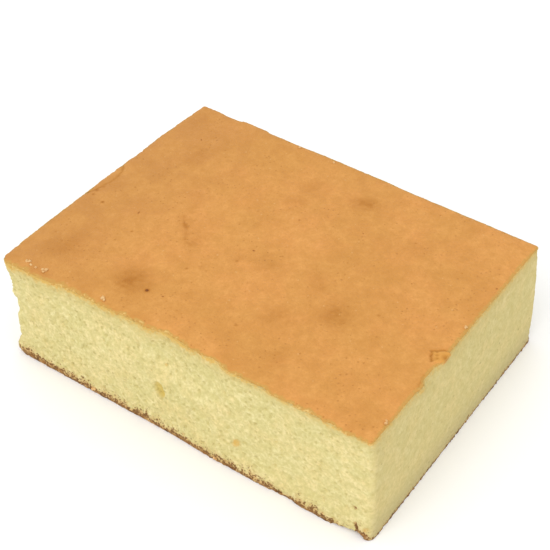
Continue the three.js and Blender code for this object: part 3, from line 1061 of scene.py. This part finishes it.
numbers = np.arange(len(top_points)).reshape(deep + 1, across + 1)
edge_ring = np.concatenate([numbers[0, :-1], numbers[:-1, -1], numbers[-1, :0:-1], numbers[:0:-1, 0]])
edge_a, edge_b = grid_a[edge_ring], grid_b[edge_ring]
_, edge_depth = skin_edge(edge_a, edge_b)
skin_faces = np.stack(
    [numbers[:-1, :-1], numbers[:-1, 1:], numbers[1:, 1:], numbers[1:, :-1]], axis=-1
).reshape(-1, 4).tolist()
rim_rows, upper = [], edge_ring
for row, (share, proud) in enumerate(RIM_PROFILE):
    sunk = share * edge_depth + RIM_TUCK * (share > 1)
    rim_rows.append(at_height(skin_outline(edge_a, edge_b, proud), top_z[edge_ring] - sunk))
    lower = len(top_points) + row * len(edge_ring) + np.arange(len(edge_ring))
    skin_faces += ring_faces(lower, upper)
    upper = lower
skin_points = np.concatenate([top_points, *rim_rows, [(0, 0, HEIGHT - UNDERSIDE_DROP)]])
skin_faces += fan_faces(upper[::-1], len(skin_points) - 1)
print(f"skin rim: {len(RIM_PROFILE)} rings of {len(edge_ring)} points")

# %% [markdown]
# Numbers for the relief and the colours ride on the skin too. The top is almost closed, and its torn edge
# is open. The browning is worn away near the edge, unevenly, and most towards the front left. Where the
# skin hangs over the clean right edge, its browned side folds down and no cut face shows.

# %% Numbers on the skin, and the finished sheet
TOP_OPENNESS = 0.10
EDGE_OPENNESS, EDGE_OPEN_REACH = 0.5, 0.9
RIM_OPENNESS = {"left": 0.7, "right": 0.15, "front": 1.0, "back": 0.7}
# How far in from the edge the browning is worn away, how unevenly, and how pale it is there
BARE_EDGE = {"left": 0.4, "right": 1.3, "front": 1.3, "back": 0.4}
BARE_RAGGED = {"left": 1.0, "right": 0.35, "front": 1.0, "back": 1.0}
BARE_PALENESS = {"left": 0.6, "right": 0.55, "front": 0.6, "back": 0.6}
BARE_LEAN = 0.9
BARE_LEAST = 0.1
BARE_START, BARE_STRETCH = 1.1, 1.6
BARE_WANDER = [(0.6, 4.5, 13.0), (0.7, 1.5, 14.0)]
RIM_PALENESS = 0.65
FOLD_COVER = 0.9

edge_place, edge_out = outline(edge_a, edge_b, HEIGHT)
skin_open = np.concatenate([
    TOP_OPENNESS + EDGE_OPENNESS * np.exp(-inward / EDGE_OPEN_REACH),
    np.tile(by_wall(edge_out, RIM_OPENNESS), len(RIM_PROFILE) - 1), np.zeros(len(edge_ring) + 1),
])
side_first = to_side < to_end
_, near_out = outline(np.where(side_first, side, grid_a), np.where(side_first, grid_b, end), HEIGHT)
worn = by_wall(near_out, BARE_EDGE)
worn += BARE_LEAN * facing(near_out, "front") * np.clip(-skin_plan[:, 0] / LENGTH, 0, None)
worn *= 1 + by_wall(near_out, BARE_RAGGED) * blend(top_points, BARE_WANDER)
worn *= 1 - on_flap(skin_plan)
bare = smooth(np.clip(BARE_START - inward / np.clip(worn, BARE_LEAST, None) / BARE_STRETCH, 0, 1))
folded = np.clip(at_places(edge_place, edge_out, HANGING), 0, 1) * facing(edge_out, "right")
cut_face = np.concatenate([
    by_wall(near_out, BARE_PALENESS) * bare,
    *(min(1.0, RIM_PALENESS + share) * (1 - FOLD_COVER * folded) for share, _ in RIM_PROFILE), [1.0],
])
skin_places = skin_points[:, :2]
skin = make_piece(
    "top_skin", skin_points, skin_faces, openness=skin_open, cut_face=cut_face,
    scorch=scorch_at(skin_places), tear=groove(skin_places), flap=on_flap(skin_places),
)
print(f"top skin: {len(skin_points)} points, {len(skin_faces)} faces")

# %% [markdown]
# ## The skin's colours
#
# A butter cake's skin is orange tan from browned sugar and milk. It is never one colour: wide clouds, a
# fine mottle of tiny bubbles, pinholes where a bubble broke, darkened with painted shade, and the
# blotches placed above. At the cut edge the colour runs out to gold, because only the outside is browned.
# It is a little glossy, since butter comes to the surface.

# %% Skin material
SKIN_DARK_TONE, SKIN_LIGHT_TONE = (0.595, 0.270, 0.057), (0.700, 0.310, 0.079)
# Name, tone and strength, and the clouds' size in metres, contrast and seed
SKIN_CLOUDS = [
    ("patches", (0.715, 0.362, 0.103), 0.42, (0.013, 0.14, 12.0)),
    ("mottle", (0.500, 0.215, 0.040), 0.28, (0.0055, 0.13, 16.0)),
    ("bubbles", (0.485, 0.205, 0.036), 0.22, (0.0028, 0.13, 18.0)),
    ("fine", (0.485, 0.207, 0.037), 0.22, (0.0013, 0.16, 13.0)),
]


def skin_material():
    paint = Paint("browned_skin", SKIN_DARK_TONE)
    tree, masks = paint.tree, {}
    paint.lay(SKIN_LIGHT_TONE, paint.clouds(size=0.035, contrast=0.14, seed=11.0))
    # The skin is duller towards its left end
    paint.lay((0.520, 0.236, 0.060), ramp(tree, axis(tree, paint.place, 0), -0.030, -0.105), 0.8)
    for label, tone, strength, cloud in SKIN_CLOUDS:
        masks[label] = paint.clouds(*cloud)
        paint.lay(tone, masks[label], strength)
    scorch = paint.number("scorch")
    paint.lay((0.395, 0.142, 0.012), scorch, 0.68)
    paint.lay((0.15, 0.034, 0.0), ramp(tree, scorch, 1.3, 1.6, 0.0, 0.85))
    # Pinholes in groups and a few deep pits, both darkened with painted shade, and pale blisters
    holes = paint.pinholes(spacing=0.0024, width=0.23, share=0.8, seed=14.0)
    holes = times(tree, holes, paint.clouds(size=0.018, contrast=0.08, seed=19.0))
    paint.lay((0.37, 0.115, 0.004), holes, 0.36)
    pits = paint.pinholes(spacing=0.012, width=0.06, share=0.3, seed=15.0)
    paint.lay((0.24, 0.058, 0.0), pits, 0.75)
    pale = paint.pinholes(spacing=0.0045, width=0.13, share=0.35, seed=17.0)
    paint.lay((0.75, 0.46, 0.19), pale, 0.35)
    # The flap; the grooves and pits, partly the torn skin's own brown and partly painted shade; and the
    # worn edge
    paint.lay((0.68, 0.335, 0.062), paint.number("flap"), 0.6)
    paint.lay((0.40, 0.150, 0.010), paint.number("tear"))
    worn = paint.speckled(paint.number("cut_face"), 0.6)
    paint.lay((0.540, 0.296, 0.069), ramp(tree, worn, 0.05, 0.45))
    paint.lay((0.700, 0.475, 0.160), ramp(tree, worn, 0.55, 0.9))
    roughness = ramp(tree, masks["patches"], 0.0, 1.0, 0.58, 0.70)
    bump = calc(tree, "SUBTRACT", masks["fine"], holes)
    return paint.finish(roughness, gloss=0.25, bump=bump, depth=0.00015)


SKIN = skin_material()
apply_tree(skin, RELIEF, {
    "Grain": 1.7 * MM, "Grain depth": 0.40 * MM, "Drag": 4 * MM, "Drag depth": 0.9 * MM,
    "Pore spacing": 5 * MM, "Pore depth": 0.5 * MM, "Seed": 27.0, "Material": SKIN,
})
print("material:", SKIN.name)

# %% [markdown]
# ## The base crust
#
# The underside browned against the tin. From the side it is only a dark, broken line along the foot of
# the walls. It is a thin tray of rings: flat underneath, standing a hair proud of the crumb, with the
# ragged upper edge found above. The same relief tree that made the crumb breaks up its surface.

# %% The base crust tray
TRAY_HEIGHT = 1.2
# Share of the height, how far the tray stands out, and its openness, from the flat foot to under the crumb
CRUST_PROFILE = [
    (0.0, -0.35, 0.0), (0.10, -0.05, 0.3), (0.20, 0.06, 0.6), (0.32, 0.10, 1.0), (0.45, 0.10, 1.0),
    (0.60, 0.06, 1.0), (0.75, 0.0, 1.0), (0.90, -0.15, 1.0), (1.0, -0.5, 1.0), (1.0, -2.5, 0.0),
]
crust_rows = []
for share, proud, _ in CRUST_PROFILE:
    height = share * crust_height
    crust_rows.append(at_height(outline(ring_a, ring_b, height, proud)[0], height))
crust_points = np.concatenate([*crust_rows, [(0, 0, 0), (0, 0, TRAY_HEIGHT)]])
crust_open = np.concatenate([np.repeat([row[2] for row in CRUST_PROFILE], RING), [0.0, 0.0]])
crust = make_piece("base_crust", crust_points, stack_faces(len(CRUST_PROFILE)), openness=crust_open)


def crust_material():
    paint = Paint("base_crust_brown", (0.13, 0.052, 0.015))
    wide = paint.clouds(size=0.005, contrast=0.14, seed=21.0)
    fine = paint.clouds(size=0.0020, contrast=0.09, seed=22.0)
    pale = paint.pinholes(spacing=0.0024, width=0.36, share=0.5, seed=23.0)
    paint.lay((0.34, 0.165, 0.052), wide)
    paint.lay((0.50, 0.29, 0.105), fine, 0.7)
    paint.lay((0.66, 0.43, 0.21), pale, 0.8)
    roughness = ramp(paint.tree, wide, 0.0, 1.0, 0.7, 0.85)
    return paint.finish(roughness, gloss=0.2, bump=fine, depth=0.0004)


CRUST = crust_material()
apply_tree(crust, RELIEF, {
    "Grain": 1.6 * MM, "Grain depth": 0.8 * MM, "Drag": 5 * MM, "Drag depth": 0.6 * MM,
    "Pore spacing": 6 * MM, "Pore depth": 0.3 * MM, "Seed": 17.0, "Material": CRUST,
})
settle(crust)
print(f"base crust: {len(crust.data.vertices)} points, none below the floor")

# %% [markdown]
# ## Loose crumbs
#
# Cutting left a few crumbs lying on the skin near its edges, and some caught at the front's foot. They are
# one lumpy shape repeated, so a Geometry Nodes tree sets a small ball on every listed place, at that
# crumb's own size and a random turn, makes the balls real, and then dents them with noise so that no two
# look alike.

# %% Geometry tree for loose crumbs
def loose_crumb_tree():
    tree, way_in, way_out = open_tree(
        "Loose crumbs", "GeometryNodeTree",
        [("Geometry", GEOMETRY, None), ("Dent", FLOAT, 0.0004), ("Dent size", FLOAT, 0.0008),
         ("Seed", "NodeSocketInt", 0), ("Material", MATERIAL, None)],
        [("Geometry", GEOMETRY)],
    )
    ball = add_node(tree, "GeometryNodeMeshIcoSphere")
    feed_all(tree, ball, {"Radius": 1.0, "Subdivisions": 3})
    turn = add_node(tree, "FunctionNodeRandomValue", data_type="FLOAT_VECTOR")
    feed_all(tree, turn, {"Max": (math.tau, math.tau, math.tau), "Seed": way_in["Seed"]})
    scatter = add_node(tree, "GeometryNodeInstanceOnPoints")
    feed_all(tree, scatter, {
        "Points": way_in["Geometry"], "Instance": ball.outputs["Mesh"], "Rotation": turn.outputs[0],
        "Scale": stored(tree, "size"),
    })
    solid = add_node(tree, "GeometryNodeRealizeInstances")
    feed(tree, solid.inputs[0], scatter.outputs[0])
    place = add_node(tree, "GeometryNodeInputPosition").outputs[0]
    lump = calc(tree, "SUBTRACT", noise(tree, place, way_in["Dent size"], 3.0, detail=1.0), 0.5)
    move_and_paint(tree, solid.outputs[0], times(tree, lump, way_in["Dent"]), way_in, way_out)
    return tree


def loose_material():
    paint = Paint("pale_crumb", (0.64, 0.37, 0.14))
    paint.lay((0.73, 0.49, 0.23), paint.clouds(size=0.0009, contrast=0.2, seed=31.0))
    return paint.finish(roughness=0.9, gloss=0.25)


LOOSE_TREE = loose_crumb_tree()
print("geometry tree:", LOOSE_TREE.name)

# %% [markdown]
# Each crumb on the skin has a place and a radius, and is sunk a little so that it does not seem to float.
# Each crumb at the foot has a place along the front, a height and a radius.

# %% The loose crumbs
TOP_SPOTS = [
    (-90.8, -70.6, 0.65), (-89.4, -70.2, 0.75), (-87.6, -71.4, 0.60), (-84.2, -71.8, 0.50),
    (-80.6, -71.1, 0.70), (-79.2, -70.4, 0.85), (-79.4, -72.1, 0.55),
    (-45.4, -70.1, 0.95), (-44.0, -71.0, 0.65), (97.4, 6.0, 0.75), (97.9, -62.0, 0.70),
    (97.2, -60.5, 0.45), (-36.0, 74.2, 0.60), (-15.0, 73.4, 0.55),
]
FOOT_SPOTS = [(-53.4, 2.3, 0.8), (-52.3, 2.9, 0.6), (18.4, 1.6, 0.7), (19.5, 1.2, 0.5)]
TOP_SPOT_RISE = 0.3
FOOT_SPOT_PROUD = 0.2

top_spots = np.array(TOP_SPOTS)
top_places, top_sizes = top_spots[:, :2], top_spots[:, 2]
on_top = at_height(top_places, HEIGHT + skin_rise(top_places) + TOP_SPOT_RISE * top_sizes)
foot_x, foot_z, foot_sizes = np.array(FOOT_SPOTS).T
foot_places, _ = outline(2 * foot_x / LENGTH, -np.ones(len(foot_x)), foot_z, proud=FOOT_SPOT_PROUD)
loose_points = np.concatenate([on_top, at_height(foot_places, foot_z)])
loose_sizes = np.concatenate([top_sizes, foot_sizes])
loose = make_piece("loose_crumbs", loose_points, [], size=loose_sizes * MM)
apply_tree(loose, LOOSE_TREE, {
    "Dent": 1.6 * MM, "Dent size": 1.0 * MM, "Seed": 4, "Material": loose_material(),
})
loose.data.shade_smooth()
print(f"loose crumbs: {len(loose_sizes)} crumbs, {len(loose.data.polygons)} faces")

# %% [markdown]
# ## Studio and camera
#
# A plain pale floor, a wide soft light from above the front and an even sky keep the shadows faint, as in
# a product picture.

# %% Floor and light
FLOOR_DROP = 0.1
FLOOR_HALF = 4000.0
KEY_PLACE, KEY_AIM = (0.1, -1.1, 1.4), (0, 0, 0.03)
KEY_SIZE, KEY_POWER = 1.2, 10.5


def make_floor():
    corners = [(-1, -1), (1, -1), (1, 1), (-1, 1)]
    points = [(x * FLOOR_HALF, y * FLOOR_HALF, -FLOOR_DROP) for x, y in corners]
    floor = make_piece("studio_floor", points, [(0, 1, 2, 3)])
    paint = Paint("pale_floor", (0.93, 0.93, 0.93))
    paint.lay((0.95, 0.95, 0.95), paint.clouds(size=0.6, contrast=0.5, seed=41.0))
    floor.data.materials.append(paint.finish(roughness=0.9, gloss=0.5))
    return floor


def make_light(name, place, aim, size, power):
    data = bpy.data.lights.new(name, "AREA")
    data.shape, data.size, data.energy = "DISK", size, power
    light = bpy.data.objects.new(name, data)
    bpy.context.scene.collection.objects.link(light)
    light.location = place
    direction = np.array(aim) - np.array(place)
    pitch = math.acos(-direction[2] / np.linalg.norm(direction))
    light.rotation_euler = (pitch, 0, math.atan2(direction[1], direction[0]) - math.pi / 2)
    return light


floor = make_floor()
key = make_light("soft_key", KEY_PLACE, KEY_AIM, KEY_SIZE, KEY_POWER)
world = bpy.data.worlds.new("even_sky")
world.use_nodes = True
sky = world.node_tree.nodes["Background"]
sky.inputs["Color"].default_value = (1.0, 1.0, 1.0, 1)
sky.inputs["Strength"].default_value = 1.0
bpy.context.scene.world = world
bpy.context.scene.view_settings.view_transform = "Standard"
print("studio:", floor.name, key.name, world.name)

# %% [markdown]
# The camera was fitted to the slab's corners. It looks down at about forty-two degrees from the front
# right, through a long lens. The fit gave the focal length in pixels, so it is turned into millimetres.

# %% Camera
CAMERA_PLACE = (269.99, -389.24, 469.61)
CAMERA_TURN, CAMERA_TILT = 34.76, 41.76
FOCAL_PIXELS = 1342.8
IMAGE_PIXELS = 550
SENSOR = 36.0

lens = bpy.data.cameras.new("photo_view")
lens.sensor_width = SENSOR
lens.lens = SENSOR * FOCAL_PIXELS / IMAGE_PIXELS
camera = bpy.data.objects.new("photo_view", lens)
bpy.context.scene.collection.objects.link(camera)
camera.location = np.array(CAMERA_PLACE) * MM
camera.rotation_euler = (math.radians(90 - CAMERA_TILT), 0, math.radians(CAMERA_TURN))
bpy.context.scene.camera = camera
print(f"camera: {camera.name}, {lens.lens:.1f} mm lens")

# %% [markdown]
# ## Tie to the frame
#
# Last, each piece is tied to the frame: it rides on the one body, and the slab's own mesh from the frame
# is hidden.

# %% Tie the pieces to the frame
for piece, slot in ((crumb, "crumb"), (skin, "top_crust"), (crust, "base_crust"), (loose, "crumb")):
    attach(piece, "root")
for piece in (crumb, skin, crust):
    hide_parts(SLAB)
